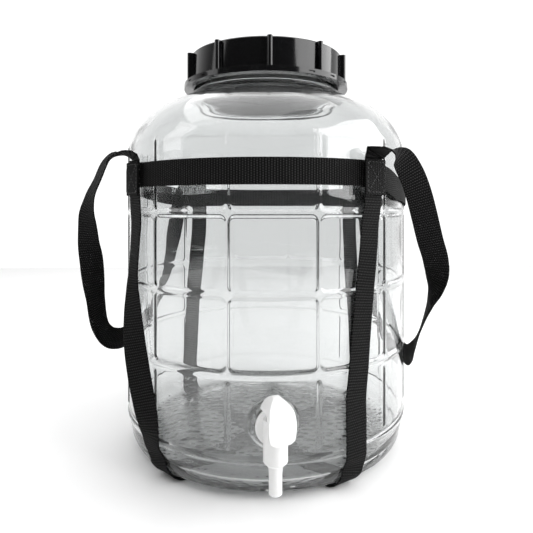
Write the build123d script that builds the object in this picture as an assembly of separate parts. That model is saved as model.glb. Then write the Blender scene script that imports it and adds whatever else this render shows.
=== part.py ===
from build123d import *
import math
import os

# Wide-mouth glass jar with a screw lid, a draining tap and a webbing carrying harness.
# Millimetres, +Z up, origin on the jar's axis at the floor. The tap faces -Y.

# Fits
GAP = 0.3                   # clearance between pieces that touch or run in one another

# Webbing
WEB_WIDTH = 20.0
WEB_THICK = 1.3
LAYER = WEB_THICK + GAP     # one layer of webbing on top of another

# Jar
BODY_RADIUS = 130.0
WALL = 4.0
BASE_Z = WEB_THICK + GAP    # the jar stands on the two straps under it
BASE_THICK = 7.0
PUNT_RISE = 5.0             # how far the underside is domed in
PUNT_EDGE = 20.0            # width of the slope between the dome and the foot
HEEL_RADIUS = 15.0          # bottom corner
HEEL_BATTER = 2.8           # the wall leans in by this much between the heel's top and its corner
HEEL_CENTRE_RADIUS = BODY_RADIUS - HEEL_RADIUS - HEEL_BATTER
FOOT_INNER_RADIUS = HEEL_CENTRE_RADIUS - 8.2
HEEL_TOP_Z = 36.0
SHOULDER_Z = 268.0          # straight wall ends here
SHOULDER_HEIGHT = 53.0
NECK_BASE_Z = SHOULDER_Z + SHOULDER_HEIGHT
NECK_RADIUS = 68.0
NECK_WALL = 5.0
NECK_HEIGHT = 33.1
MOUTH_RADIUS = NECK_RADIUS - NECK_WALL
MOUTH_Z = NECK_BASE_Z + NECK_HEIGHT
NECK_BEAD_PROUD = 4.6
NECK_BEAD_HALF = 2.2
NECK_BEAD_Z = NECK_BASE_Z + 2.0
RIB_RADIUS = 2.5            # moulded beads on the wall
RIB_PROUD = 1.0
RIB_COUNT = 12
RIB_TOP_Z = SHOULDER_Z + 2.0
RING_HALF = 3.5
RING_SHARES = (0.1175, 0.3489, 0.5634, 0.7873)   # heights of the rings, as shares of the wall's
RING_Z = [share * SHOULDER_Z for share in RING_SHARES]

# Lid
LID_SKIRT_CLEAR = 2.4       # room for the thread between the neck and the lid's skirt
LID_SKIRT_WALL = 2.6
LID_SKIRT_RADIUS = NECK_RADIUS + LID_SKIRT_CLEAR + LID_SKIRT_WALL
LID_FLANGE_RADIUS = LID_SKIRT_RADIUS + 6.4
LID_FLANGE_THICK = 4.8
LID_PLATE = 2.6
LID_RECESS = 1.2
LID_HEIGHT = 31.4
GRIP_COUNT = 10
GRIP_RADIUS = LID_SKIRT_RADIUS + 5.0
GRIP_WIDTH = 4.6
NOTCH_COUNT = 20
NOTCH_WIDTH = 6.0
NOTCH_DEPTH = 1.2
NOTCH_HEIGHT = 1.4
LINER_THICK = 1.6
LINER_RADIUS = NECK_RADIUS + 0.5
LID_TOP_Z = MOUTH_Z + GAP + LINER_THICK + LID_PLATE + LID_RECESS
LID_BOTTOM_Z = LID_TOP_Z - LID_HEIGHT

# Tap
TAP_Z = 59.0                # height of the hole and of the stem in it
PAD_RADIUS = 18.0           # flat pad moulded on the wall around the hole
PAD_Y = -(BODY_RADIUS + 1.5)
INNER_PAD_Y = -(BODY_RADIUS - WALL - 1.4)
INNER_PAD_RADIUS = 15.0
STEM_RADIUS = 8.0
STEM_BORE = 4.5
STEM_END_Y = INNER_PAD_Y + 18.6
GASKET_THICK = 1.7
GASKET_RADIUS = 13.0
COLLAR_RADIUS = 13.6
COLLAR_THICK = 4.0
NUT_RADIUS = 14.5
NUT_THICK = 8.0
ARM_RADIUS = 6.5            # level arm between the collar and the barrel
BARREL_Y = PAD_Y - 18.5
BARREL_RADIUS = 8.5
BARREL_TOP_Z = 71.3
BARREL_BOTTOM_Z = 39.8
BARREL_CHAMFER = 2.6
PLUG_RADIUS = 6.0
PLUG_BOTTOM_Z = 45.0
PLUG_BORE = 3.6
PORT_RADIUS = 3.2
NOZZLE_TOP_RADIUS = 5.3
NOZZLE_RADIUS = 4.6         # straight lower part of the nozzle, which takes a hose
NOZZLE_NECK_Z = 33.0        # the nozzle widens above this
NOZZLE_TIP_Z = 19.4
NOZZLE_CHAMFER = 1.0
NOZZLE_BORE = 3.2
LEVER_TURN = 20.0           # the lever at rest points this far to the right of straight ahead
LEVER_THICK = 3.0
LEVER_INNER = 9.6           # from the barrel's axis to the inner face of the lever
LEVER_TOP_Z = 86.5
LEVER_HUB_RADIUS = 5.6
LEVER_HUB_Z = BARREL_TOP_Z + GAP

# Harness: directions are degrees round the jar from the tap, to the right as seen from the front
TAB_FRONT_LEFT = -55.5
TAB_FRONT_RIGHT = 35.4
TAB_REAR_LEFT = -144.8
TAB_REAR_RIGHT = 129.3
TAB_WIDTH = 22.0
TAB_HALF_ANGLE = 4.7
FRONT_BAND_Z = SHOULDER_Z - 26.0
REAR_BAND_Z = FRONT_BAND_Z - 15.0
# Radius of the middle of each layer of webbing at the crossings, from the glass outwards
WEB_R0 = BODY_RADIUS + RIB_PROUD + GAP + WEB_THICK / 2
WEB_R1 = WEB_R0 + LAYER
WEB_R2 = WEB_R1 + LAYER
TAB_CLEAR = 0.6             # the flat straps stand off the curved tabs by this much at their edges
FRONT_TAB_RADIUS = WEB_R2 + LAYER + TAB_CLEAR
REAR_TAB_RADIUS = WEB_R1 + LAYER + TAB_CLEAR
FRONT_STRAP_TOP_Z = FRONT_BAND_Z - 0.5
FRONT_HANDLE_Z = FRONT_BAND_Z + 1.5
REAR_STRAP_TOP_Z = REAR_BAND_Z - 0.5
REAR_HANDLE_Z = REAR_BAND_Z + 1.5
FRONT_TAB_LOW = FRONT_BAND_Z - 17.0
FRONT_TAB_HIGH = FRONT_BAND_Z + 10.5
REAR_TAB_LOW = REAR_BAND_Z - 14.0
REAR_TAB_HIGH = REAR_BAND_Z + 10.5

os.makedirs("parts", exist_ok=True)


def polar(angle, radius, z):
    """A point at an angle from the front, counted to the right."""
    a = math.radians(angle)
    return Vector(radius * math.sin(a), -radius * math.cos(a), z)


def around(angle):
    """The level direction along the jar's wall at an angle from the front."""
    a = math.radians(angle)
    return Vector(math.cos(a), math.sin(a), 0)


def slopes(at, values):
    """Slopes of a smooth curve through values that never overshoots them."""
    steps = [(values[i + 1] - values[i]) / (at[i + 1] - at[i]) for i in range(len(at) - 1)]
    out = [steps[0]]
    for before, after in zip(steps, steps[1:]):
        level = before * after <= 0
        out.append(0.0 if level else 2 * before * after / (before + after))
    return out + [steps[-1]]


def smoothed(stations, step=7.0):
    """More stations along the same strip, close together, as (centre, across)."""
    rows = [list(centre) + list(across) for centre, across in
            [(Vector(c), Vector(d)) for c, d in stations]]
    at = [0.0]
    for one, two in zip(rows, rows[1:]):
        at.append(at[-1] + math.dist(one[:3], two[:3]))
    bends = [slopes(at, [row[k] for row in rows]) for k in range(6)]
    out = []
    for i in range(len(rows) - 1):
        length = at[i + 1] - at[i]
        count = max(1, math.ceil(length / step))
        for j in range(count):
            t = j / count
            ends = (2 * t ** 3 - 3 * t ** 2 + 1, t ** 3 - 2 * t ** 2 + t,
                    -2 * t ** 3 + 3 * t ** 2, t ** 3 - t ** 2)
            out.append([ends[0] * rows[i][k] + ends[1] * length * bends[k][i]
                        + ends[2] * rows[i + 1][k] + ends[3] * length * bends[k][i + 1]
                        for k in range(6)])
    out.append(rows[-1])
    return [(Vector(*row[:3]), Vector(*row[3:])) for row in out]


def ribbon(stations, width=WEB_WIDTH, thick=WEB_THICK, step=7.0):
    """A strip of webbing through stations of (centre, direction across the strip)."""
    stations = smoothed(stations, step)
    centres = [c for c, _ in stations]
    corners = [[], [], [], []]
    for i, (centre, across) in enumerate(stations):
        along = centres[min(i + 1, len(centres) - 1)] - centres[max(i - 1, 0)]
        along = along.normalized()
        across = (across - along * across.dot(along)).normalized()
        out = along.cross(across).normalized()
        signs = ((-1, -1), (1, -1), (1, 1), (-1, 1))
        for line, (side, face) in zip(corners, signs):
            line.append(centre + across * (side * width / 2) + out * (face * thick / 2))
    edges = [Edge.make_spline(line) for line in corners]
    faces = [Face.make_surface_from_curves(edges[i], edges[(i + 1) % 4]) for i in range(4)]
    for end in (0, -1):
        faces.append(Face(Wire.make_polygon([line[end] for line in corners], close=True)))
    return Solid(Shell(faces))


def outline(plane, lines):
    """The flat face inside a closed chain of lines drawn on a plane."""
    return make_face([plane * line for line in lines])


def save(solid, name):
    solid.label = name
    export_step(solid, f"parts/{name}.step")


def hung(z):
    """A height on the hanging webbing, listed for a band at 242, moved with the real band."""
    return z * FRONT_BAND_Z / 242


def table(rows):
    """Stations from rows of angle, distance off the wall, height and the direction across."""
    return [(polar(a, BODY_RADIUS + off, hung(z)), (u, v, w)) for a, off, z, u, v, w in rows]


def band(rows):
    """Stations of a level band from rows of angle, radius and height."""
    return [(polar(a, r, z), (0, 0, 1)) for a, r, z in rows]


def wall_strap(rows):
    """Stations of a strap that runs down the wall, from rows of angle, radius and height."""
    return [(polar(a, r, z), around(a)) for a, r, z in rows]


def hung_strap(top, rows):
    """A wall strap whose first place is given and whose other heights follow the band."""
    return wall_strap([top] + [(a, r, hung(z)) for a, r, z in rows])


# Glass jar
def shoulder(wall, low, neck, high):
    """Points of the rounded shoulder between the wall and the neck, as shares of its size."""
    shares = ((0.961, 0.179), (0.855, 0.415), (0.653, 0.660), (0.387, 0.840), (0.129, 0.949))
    middle = [(neck + (wall - neck) * across, low + (high - low) * up) for across, up in shares]
    return [(wall, low)] + middle + [(neck, high)]


def jar():
    heel = HEEL_CENTRE_RADIUS
    dome = FOOT_INNER_RADIUS - PUNT_EDGE
    centre_z = BASE_Z + HEEL_RADIUS
    arc_end = (heel + HEEL_RADIUS, centre_z)
    arc_mid = (heel + HEEL_RADIUS * math.sin(math.radians(45)),
               centre_z - HEEL_RADIUS * math.cos(math.radians(45)))
    outer = [
        Line((0, BASE_Z + PUNT_RISE), (dome, BASE_Z + PUNT_RISE)),
        Spline((dome, BASE_Z + PUNT_RISE), (FOOT_INNER_RADIUS, BASE_Z),
               tangents=((1, 0), (1, -0.6))),
        Line((FOOT_INNER_RADIUS, BASE_Z), (heel, BASE_Z)),
        ThreePointArc((heel, BASE_Z), arc_mid, arc_end),
        Spline(arc_end, (BODY_RADIUS, HEEL_TOP_Z), tangents=((0, 1), (0, 1))),
        Line((BODY_RADIUS, HEEL_TOP_Z), (BODY_RADIUS, SHOULDER_Z)),
        Spline(*shoulder(BODY_RADIUS, SHOULDER_Z, NECK_RADIUS, NECK_BASE_Z),
               tangents=((0, 1), (-1, 0.28))),
        Line((NECK_RADIUS, NECK_BASE_Z), (NECK_RADIUS, MOUTH_Z)),
        Line((NECK_RADIUS, MOUTH_Z), (MOUTH_RADIUS, MOUTH_Z)),
    ]
    floor_z = BASE_Z + BASE_THICK
    inside = BODY_RADIUS - WALL
    corner = HEEL_RADIUS - WALL + 6.0
    inner = [
        Line((MOUTH_RADIUS, MOUTH_Z), (MOUTH_RADIUS, NECK_BASE_Z - 3.2)),
        Spline(*shoulder(inside, SHOULDER_Z - 1.0, MOUTH_RADIUS, NECK_BASE_Z - 3.2)[::-1],
               tangents=((0.3, -1), (0, -1))),
        Line((inside, SHOULDER_Z - 1.0), (inside, HEEL_TOP_Z)),
        Spline((inside, HEEL_TOP_Z), (inside - corner, floor_z), tangents=((0, -1), (-1, 0))),
        Line((inside - corner, floor_z), (FOOT_INNER_RADIUS, floor_z)),
        Spline((FOOT_INNER_RADIUS, floor_z), (dome, floor_z + PUNT_RISE),
               tangents=((-1, 0), (-1, 0))),
        Line((dome, floor_z + PUNT_RISE), (0, floor_z + PUNT_RISE)),
        Line((0, floor_z + PUNT_RISE), (0, BASE_Z + PUNT_RISE)),
    ]
    profile = outline(Plane.XZ, outer + inner)
    glass = revolve(profile, axis=Axis.Z)

    # Rounded rings and upright beads that divide the wall into panels
    beads = []
    for z in RING_Z:
        flat = outline(Plane.XZ, [
            Line((BODY_RADIUS - 2, z - RING_HALF), (BODY_RADIUS - 0.1, z - RING_HALF)),
            ThreePointArc((BODY_RADIUS - 0.1, z - RING_HALF), (BODY_RADIUS + RIB_PROUD, z),
                          (BODY_RADIUS - 0.1, z + RING_HALF)),
            Line((BODY_RADIUS - 0.1, z + RING_HALF), (BODY_RADIUS - 2, z + RING_HALF)),
            Line((BODY_RADIUS - 2, z + RING_HALF), (BODY_RADIUS - 2, z - RING_HALF)),
        ])
        beads.append(revolve(flat, axis=Axis.Z))
    spans = ((RING_Z[0] + 9.0, RING_Z[1] - 8.0), (RING_Z[1] + 2.0, RIB_TOP_Z))
    for i in range(RIB_COUNT):
        angle = (i + 0.5) * 360 / RIB_COUNT
        for low, high in spans:
            foot = polar(angle, BODY_RADIUS + RIB_PROUD - RIB_RADIUS, low)
            beads.append(Pos(foot) * Cylinder(RIB_RADIUS, high - low,
                                              align=(Align.CENTER, Align.CENTER, Align.MIN)))
    bead_out = NECK_RADIUS + NECK_BEAD_PROUD
    bead_low = NECK_BEAD_Z - NECK_BEAD_HALF
    bead_high = NECK_BEAD_Z + NECK_BEAD_HALF
    collar = outline(Plane.XZ, [
        Line((NECK_RADIUS - 1, bead_low), (bead_out - 1.5, bead_low)),
        ThreePointArc((bead_out - 1.5, bead_low), (bead_out, NECK_BEAD_Z),
                      (bead_out - 1.5, bead_high)),
        Line((bead_out - 1.5, bead_high), (NECK_RADIUS - 1, bead_high)),
        Line((NECK_RADIUS - 1, bead_high), (NECK_RADIUS - 1, bead_low)),
    ])
    beads.append(revolve(collar, axis=Axis.Z))

    # Flat seats for the tap's gaskets on both faces of the wall, and the hole
    front = Plane(origin=(0, PAD_Y, TAP_Z), z_dir=(0, 1, 0))
    beads.append(front * Cylinder(PAD_RADIUS, -PAD_Y - (BODY_RADIUS - WALL / 2),
                                  align=(Align.CENTER, Align.CENTER, Align.MIN)))
    inner_seat = Plane(origin=(0, INNER_PAD_Y, TAP_Z), z_dir=(0, -1, 0))
    beads.append(inner_seat * Cylinder(INNER_PAD_RADIUS, 3.0,
                                       align=(Align.CENTER, Align.CENTER, Align.MIN)))
    glass = glass + beads
    hole = Plane(origin=(0, PAD_Y - 5, TAP_Z), z_dir=(0, 1, 0))
    glass = glass - hole * Cylinder(STEM_RADIUS + GAP, 25,
                                    align=(Align.CENTER, Align.CENTER, Align.MIN))
    return glass


# Lid and its liner
def lid():
    skirt_z = LID_TOP_Z - LID_BOTTOM_Z
    body = Pos(0, 0, LID_BOTTOM_Z) * Cylinder(LID_SKIRT_RADIUS, skirt_z,
                                              align=(Align.CENTER, Align.CENTER, Align.MIN))
    body += Pos(0, 0, LID_BOTTOM_Z) * Cylinder(LID_FLANGE_RADIUS, LID_FLANGE_THICK,
                                               align=(Align.CENTER, Align.CENTER, Align.MIN))
    body = chamfer(body.edges().group_by(Axis.Z)[-1], 1.0)
    grips = []
    reach = GRIP_RADIUS - LID_SKIRT_RADIUS
    height = LID_TOP_Z - 0.8 - LID_BOTTOM_Z
    for i in range(GRIP_COUNT):
        turn = Rot(0, 0, i * 360 / GRIP_COUNT)
        end = LID_SKIRT_RADIUS + reach - GRIP_WIDTH / 2
        grips.append(turn * Pos(0, -end, LID_BOTTOM_Z) * Cylinder(
            GRIP_WIDTH / 2, height, align=(Align.CENTER, Align.CENTER, Align.MIN)))
        grips.append(turn * Pos(0, -end, LID_BOTTOM_Z) * Box(
            GRIP_WIDTH, reach, height, align=(Align.CENTER, Align.MIN, Align.MIN)))
    body += grips
    inside = LID_SKIRT_RADIUS - LID_SKIRT_WALL
    body -= Pos(0, 0, LID_BOTTOM_Z) * Cylinder(inside, skirt_z - LID_PLATE - LID_RECESS,
                                               align=(Align.CENTER, Align.CENTER, Align.MIN))
    body -= Pos(0, 0, LID_TOP_Z) * Cylinder(LID_SKIRT_RADIUS - 5.0, LID_RECESS,
                                            align=(Align.CENTER, Align.CENTER, Align.MAX))
    slots = []
    for i in range(NOTCH_COUNT):
        slots.append(Rot(0, 0, (i + 0.5) * 360 / NOTCH_COUNT)
                     * Pos(0, -LID_FLANGE_RADIUS - 0.5, LID_BOTTOM_Z + LID_FLANGE_THICK / 2)
                     * Box(NOTCH_WIDTH, 2 * (NOTCH_DEPTH + 0.5), NOTCH_HEIGHT))
    return body - slots


def lid_liner():
    top = LID_TOP_Z - LID_PLATE - LID_RECESS
    return Pos(0, 0, top) * Cylinder(LINER_RADIUS, LINER_THICK,
                                     align=(Align.CENTER, Align.CENTER, Align.MAX))


# Tap: everything on the level stem is set out along Y from the pad on the glass
OUTER_GASKET_Y = PAD_Y
COLLAR_Y = OUTER_GASKET_Y - GASKET_THICK
INNER_GASKET_Y = INNER_PAD_Y + GASKET_THICK
NUT_Y = INNER_GASKET_Y + NUT_THICK


def along_stem(y, radius, length):
    """A level cylinder that starts at y and runs towards the tap's front."""
    at = Plane(origin=(0, y, TAP_Z), z_dir=(0, -1, 0))
    return at * Cylinder(radius, length, align=(Align.CENTER, Align.CENTER, Align.MIN))


def upright(radius, low, high):
    """A cylinder on the barrel's axis."""
    return Pos(0, BARREL_Y, low) * Cylinder(radius, high - low,
                                            align=(Align.CENTER, Align.CENTER, Align.MIN))


def tap_body():
    body = along_stem(STEM_END_Y, STEM_RADIUS, STEM_END_Y - COLLAR_Y)
    body += chamfer(along_stem(COLLAR_Y, COLLAR_RADIUS, COLLAR_THICK).edges(), 0.8)
    body += along_stem(COLLAR_Y, ARM_RADIUS, COLLAR_Y - BARREL_Y)
    barrel = upright(BARREL_RADIUS, BARREL_BOTTOM_Z, BARREL_TOP_Z)
    body += chamfer(barrel.edges().group_by(Axis.Z)[0], BARREL_CHAMFER)
    nozzle = upright(NOZZLE_RADIUS, NOZZLE_TIP_Z, NOZZLE_NECK_Z)
    body += chamfer(nozzle.edges().group_by(Axis.Z)[0], NOZZLE_CHAMFER)
    neck = BARREL_BOTTOM_Z + 1.0 - NOZZLE_NECK_Z
    body += Pos(0, BARREL_Y, NOZZLE_NECK_Z + neck / 2) * Cone(NOZZLE_RADIUS, NOZZLE_TOP_RADIUS,
                                                              neck)
    body -= upright(PLUG_RADIUS + GAP, PLUG_BOTTOM_Z - GAP, BARREL_TOP_Z)
    body -= upright(NOZZLE_BORE, NOZZLE_TIP_Z, PLUG_BOTTOM_Z)
    body -= along_stem(STEM_END_Y, STEM_BORE, STEM_END_Y - BARREL_Y)
    return body


def tap_plug():
    """The turning plug, hollow below, with a port that meets the stem when it is turned."""
    plug = upright(PLUG_RADIUS, PLUG_BOTTOM_Z, BARREL_TOP_Z)
    plug += upright(LEVER_HUB_RADIUS, BARREL_TOP_Z - 1.0, LEVER_TOP_Z - LEVER_THICK)
    plug -= upright(PLUG_BORE, PLUG_BOTTOM_Z, TAP_Z + PORT_RADIUS + 1.0)
    port = Plane(origin=(0, BARREL_Y, TAP_Z), z_dir=(-1, 0, 0))
    plug -= port * Cylinder(PORT_RADIUS, PLUG_RADIUS + 1,
                            align=(Align.CENTER, Align.CENTER, Align.MIN))
    # Lever: a side view of the bent tongue cut to the outline seen from its front
    out = LEVER_INNER + LEVER_THICK
    side = outline(Plane.YZ, [
        Line((5.0, LEVER_HUB_Z + 6.0), (-4.0, LEVER_HUB_Z + 6.0)),
        ThreePointArc((-4.0, LEVER_HUB_Z + 6.0), (-8.0, 75.2), (-LEVER_INNER, 71.0)),
        Line((-LEVER_INNER, 71.0), (-LEVER_INNER, 58.0)),
        Line((-LEVER_INNER, 58.0), (-out, 58.0)),
        Line((-out, 58.0), (-out, 71.0)),
        Spline((-out, 71.0), (-11.2, 78.5), (-5.5, 84.6), (1.0, LEVER_TOP_Z),
               tangents=((0, 1), (1, 0))),
        Spline((1.0, LEVER_TOP_Z), (5.0, LEVER_HUB_Z + 6.0), tangents=((1, 0), (0, -1))),
    ])
    tongue = extrude(side, amount=15, both=True)
    front = outline(Plane.XZ, [
        Spline((-9.0, 60.5), (-10.0, 66.0), (-9.9, 73.0), (-8.4, 80.0), (-5.2, 84.4),
               (0.0, 87.0), (5.2, 84.4), (8.4, 80.0), (9.9, 73.0), (10.0, 66.0), (9.0, 60.5)),
        Spline((9.0, 60.5), (0.0, 57.4), (-9.0, 60.5), tangents=((-0.9, -1), (-0.9, 1))),
    ])
    shape = extrude(front, amount=20, both=True)
    tongue = tongue & shape
    lever = Pos(0, BARREL_Y, 0) * Rot(0, 0, LEVER_TURN) * tongue
    return plug + lever


def washer(y, thick):
    ring = along_stem(y, GASKET_RADIUS, thick)
    return ring - along_stem(y + 1, STEM_RADIUS + GAP, thick + 2)


def tap_nut():
    at = Plane(origin=(0, NUT_Y, TAP_Z), z_dir=(0, -1, 0))
    nut = at * extrude(RegularPolygon(NUT_RADIUS, 6), NUT_THICK)
    return nut - along_stem(NUT_Y + 1, STEM_RADIUS + GAP, NUT_THICK + 2)


# Harness
def arc_rows(start, end, rows, steps):
    """Angle, radius and height at even steps, smoothed between the given rows."""
    out = []
    for i in range(steps + 1):
        a = start + (end - start) * i / steps
        for (a0, r0, z0), (a1, r1, z1) in zip(rows, rows[1:]):
            if a0 <= a <= a1:
                t = (a - a0) / (a1 - a0)
                t = t * t * (3 - 2 * t)
                out.append((a, r0 + (r1 - r0) * t, z0 + (z1 - z0) * t))
                break
    return out


def front_band():
    start = TAB_FRONT_LEFT - TAB_HALF_ANGLE
    end = TAB_FRONT_RIGHT + TAB_HALF_ANGLE
    rows = [(start, WEB_R0, FRONT_BAND_Z), (end, WEB_R0, FRONT_BAND_Z)]
    return ribbon(band(arc_rows(start, end, rows, 16)))


def rear_band():
    start = TAB_FRONT_RIGHT - TAB_HALF_ANGLE
    end = TAB_FRONT_LEFT + TAB_HALF_ANGLE + 360
    lap = 2 * TAB_HALF_ANGLE + 1.5
    rows = [
        (start, WEB_R1, FRONT_BAND_Z - 1.0),
        (start + lap, WEB_R1, FRONT_BAND_Z - 3.5),
        (start + lap + 14, WEB_R0, FRONT_BAND_Z - 9.5),
        (110, WEB_R0, REAR_BAND_Z),
        (220, WEB_R0, REAR_BAND_Z),
        (end - lap - 14, WEB_R0, FRONT_BAND_Z - 3.0),
        (end - lap, WEB_R1, FRONT_BAND_Z),
        (end, WEB_R1, FRONT_BAND_Z),
    ]
    return ribbon(band(arc_rows(start, end, rows, 48)))


def under(a, b, over):
    """Level stations of a strap below the jar from one foot point to the other."""
    p = polar(a, HEEL_CENTRE_RADIUS, WEB_THICK / 2)
    q = polar(b, HEEL_CENTRE_RADIUS, WEB_THICK / 2)
    way = (q - p).normalized()
    across = way.cross(Vector(0, 0, 1))
    out = []
    for t in (0.03, 0.06, 0.13, 0.2, 0.3, 0.36, 0.48, 0.54, 0.64, 0.75, 0.87, 0.94, 0.97):
        lift = LAYER if over and 0.28 < t < 0.56 else 0.0
        out.append((p + (q - p) * t + Vector(0, 0, lift), across))
    return out


def level(stations, first):
    """The same stations with their direction across turned to agree with the first strip."""
    return [(c, side if side.dot(Vector(first)) > 0 else side * -1) for c, side in stations]


def heel(angle_top, angle_floor, angle_far):
    """Stations round the jar's bottom corner, from the wall to the floor under the jar."""
    out = []
    way = polar(angle_far, HEEL_CENTRE_RADIUS, 0) - polar(angle_floor, HEEL_CENTRE_RADIUS, 0)
    across = way.normalized().cross(Vector(0, 0, 1))
    if across.dot(around(angle_floor)) < 0:
        across = across * -1
    reach = HEEL_RADIUS + GAP + WEB_THICK / 2
    for turn in (0, 15, 30, 45, 60, 75, 90):
        t = math.radians(turn)
        share = turn / 90
        centre = polar(angle_top + (angle_floor - angle_top) * share,
                       HEEL_CENTRE_RADIUS + reach * math.cos(t),
                       BASE_Z + HEEL_RADIUS - reach * math.sin(t))
        out.append((centre, around(angle_floor) * (1 - share) + across * share))
    return out


def base_strap(down, middle, up):
    """A strap from a front crossing, under the jar, up to the opposite rear crossing."""
    path = list(down) + level(middle, down[-1][1])
    for centre, side in reversed(up):
        path.append((centre, side * -1))
    return path


FLOOR_FRONT_RIGHT = 25.7
FLOOR_REAR_LEFT = -135.5
FLOOR_FRONT_LEFT = -40.3
FLOOR_REAR_RIGHT = 121.5

right_down = hung_strap((TAB_FRONT_RIGHT, WEB_R2, FRONT_STRAP_TOP_Z), [
    (35.4, WEB_R2, 232.0),
    (35.3, WEB_R2 - 0.3, 222.0), (35.1, WEB_R0 + 0.5, 205.0), (34.4, WEB_R0, 182.0),
    (32.6, WEB_R0, 151.0), (31.0, WEB_R0, 120.0), (29.9, WEB_R0, 93.5), (28.7, WEB_R0, 66.0),
    (28.9, WEB_R0, 46.0), (28.9, WEB_R0, 28.0),
]) + heel(28.8, FLOOR_FRONT_RIGHT, FLOOR_REAR_LEFT)
rear_left_up = hung_strap((TAB_REAR_LEFT, WEB_R1, REAR_STRAP_TOP_Z), [
    (-144.8, WEB_R1, 216.0),
    (-144.6, WEB_R1 - 0.8, 206.0), (-144.2, WEB_R0, 192.0), (-143.0, WEB_R0, 165.0),
    (-142.0, WEB_R0, 140.0), (-140.6, WEB_R0, 110.0), (-139.8, WEB_R0, 80.0),
    (-139.0, WEB_R0, 50.0), (-138.4, WEB_R0, 28.0),
]) + heel(-137.6, FLOOR_REAR_LEFT, FLOOR_FRONT_RIGHT)
rear_right_up = hung_strap((TAB_REAR_RIGHT, WEB_R1, REAR_STRAP_TOP_Z), [
    (129.3, WEB_R1, 216.0),
    (129.2, WEB_R1 - 0.8, 206.0), (129.0, WEB_R0, 192.0), (128.2, WEB_R0, 165.0),
    (127.3, WEB_R0, 140.0), (126.3, WEB_R0, 110.0), (125.2, WEB_R0, 80.0),
    (124.3, WEB_R0, 50.0), (123.8, WEB_R0, 28.0),
]) + heel(123.2, FLOOR_REAR_RIGHT, FLOOR_FRONT_LEFT)

# The front left strap stands off the glass and faces forwards between the band and the heel
left_down = table([
    (-55.5, 5.1, 241.5, 0.57, -0.82, 0.00),
    (-55.5, 5.1, 231.0, 0.57, -0.82, 0.00),
    (-55.5, 4.5, 220.0, 0.57, -0.82, 0.00),
    (-56.4, 2.9, 205.0, 0.56, -0.83, 0.00),
    (-57.5, 2.7, 188.0, 0.53, -0.85, 0.00),
    (-58.4, 3.2, 168.0, 0.52, -0.85, 0.00),
    (-58.1, 4.7, 148.0, 0.64, -0.77, 0.00),
    (-55.6, 6.7, 128.0, 0.82, -0.57, 0.00),
    (-53.2, 7.5, 106.0, 0.94, -0.34, 0.00),
    (-50.1, 7.3, 82.0, 0.97, -0.25, 0.02),
    (-47.1, 6.1, 58.0, 0.95, -0.30, 0.08),
    (-45.3, 4.5, 38.0, 0.80, -0.59, 0.06),
    (-45.6, 2.5, 29.0, 0.72, -0.69, 0.00),
]) + heel(-44.6, FLOOR_FRONT_LEFT, FLOOR_REAR_RIGHT)


def straps():
    right = base_strap(right_down, under(FLOOR_FRONT_RIGHT, FLOOR_REAR_LEFT, False),
                       rear_left_up)
    left = base_strap(left_down, under(FLOOR_FRONT_LEFT, FLOOR_REAR_RIGHT, True), rear_right_up)
    return ribbon(right, step=4.0), ribbon(left, step=4.0)


def tab(angle, radius, low, high):
    """The stitched patch that joins the pieces of webbing at a crossing."""
    steps = 4
    half = TAB_HALF_ANGLE
    rows = [(polar(angle - half + 2 * half * i / steps, radius, (low + high) / 2), (0, 0, 1))
            for i in range(steps + 1)]
    return ribbon(rows, width=high - low)


def handle(front, rear, turn, middle):
    """Stations of a handle from its front crossing, round its loop, to its rear crossing."""
    ends = []
    for angle, radius, low, high in (front, rear):
        rows = [(angle, radius, low), (angle, radius, (low + high) / 2),
                (angle, radius, high), (angle, radius + 0.5, high + 3.0)]
        ends.append([(c, side * turn) for c, side in wall_strap(rows)])
    return ends[0] + table(middle) + ends[1][::-1]


left_handle_path = handle(
    (TAB_FRONT_LEFT, WEB_R2, FRONT_HANDLE_Z, FRONT_TAB_HIGH),
    (TAB_REAR_LEFT, WEB_R1, REAR_HANDLE_Z, REAR_TAB_HIGH), 1, [
    (-58.4, 11.9, 258.9, 0.57, -0.82, 0.00),
    (-61.5, 17.6, 257.8, 0.56, -0.83, 0.00),
    (-64.9, 23.0, 252.0, 0.55, -0.84, 0.00),
    (-67.5, 28.3, 238.7, 0.53, -0.85, 0.00),
    (-70.3, 34.0, 221.7, 0.64, -0.77, 0.00),
    (-72.4, 35.8, 204.4, 0.88, -0.47, 0.00),
    (-73.7, 34.7, 186.7, 0.98, -0.19, 0.00),
    (-74.6, 32.3, 168.8, 0.96, 0.29, 0.00),
    (-75.1, 30.6, 150.8, 0.81, 0.59, 0.00),
    (-76.0, 28.6, 132.5, 0.56, 0.83, 0.05),
    (-77.7, 26.8, 115.2, 0.49, 0.80, 0.35),
    (-80.8, 22.7, 100.3, 0.22, 0.49, 0.84),
    (-85.0, 16.2, 91.5, 0.06, 0.15, 0.99),
    (-90.9, 9.8, 88.5, 0.00, 0.00, 1.00),
    (-102.4, 9.1, 92.0, 0.00, -0.10, 1.00),
    (-114.2, 10.3, 104.0, -0.02, -0.45, 0.89),
    (-124.4, 13.7, 127.0, -0.14, -0.85, 0.50),
    (-131.8, 19.9, 158.0, -0.44, -0.89, 0.15),
    (-136.2, 26.3, 190.0, -0.78, -0.63, 0.00),
    (-139.2, 28.1, 218.0, -0.85, -0.53, 0.00),
    (-141.2, 24.7, 237.0, -0.83, -0.56, 0.00),
    (-143.1, 18.8, 244.5, -0.82, -0.58, 0.00),
    (-144.6, 10.9, 246.0, -0.82, -0.58, 0.00),
])
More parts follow.
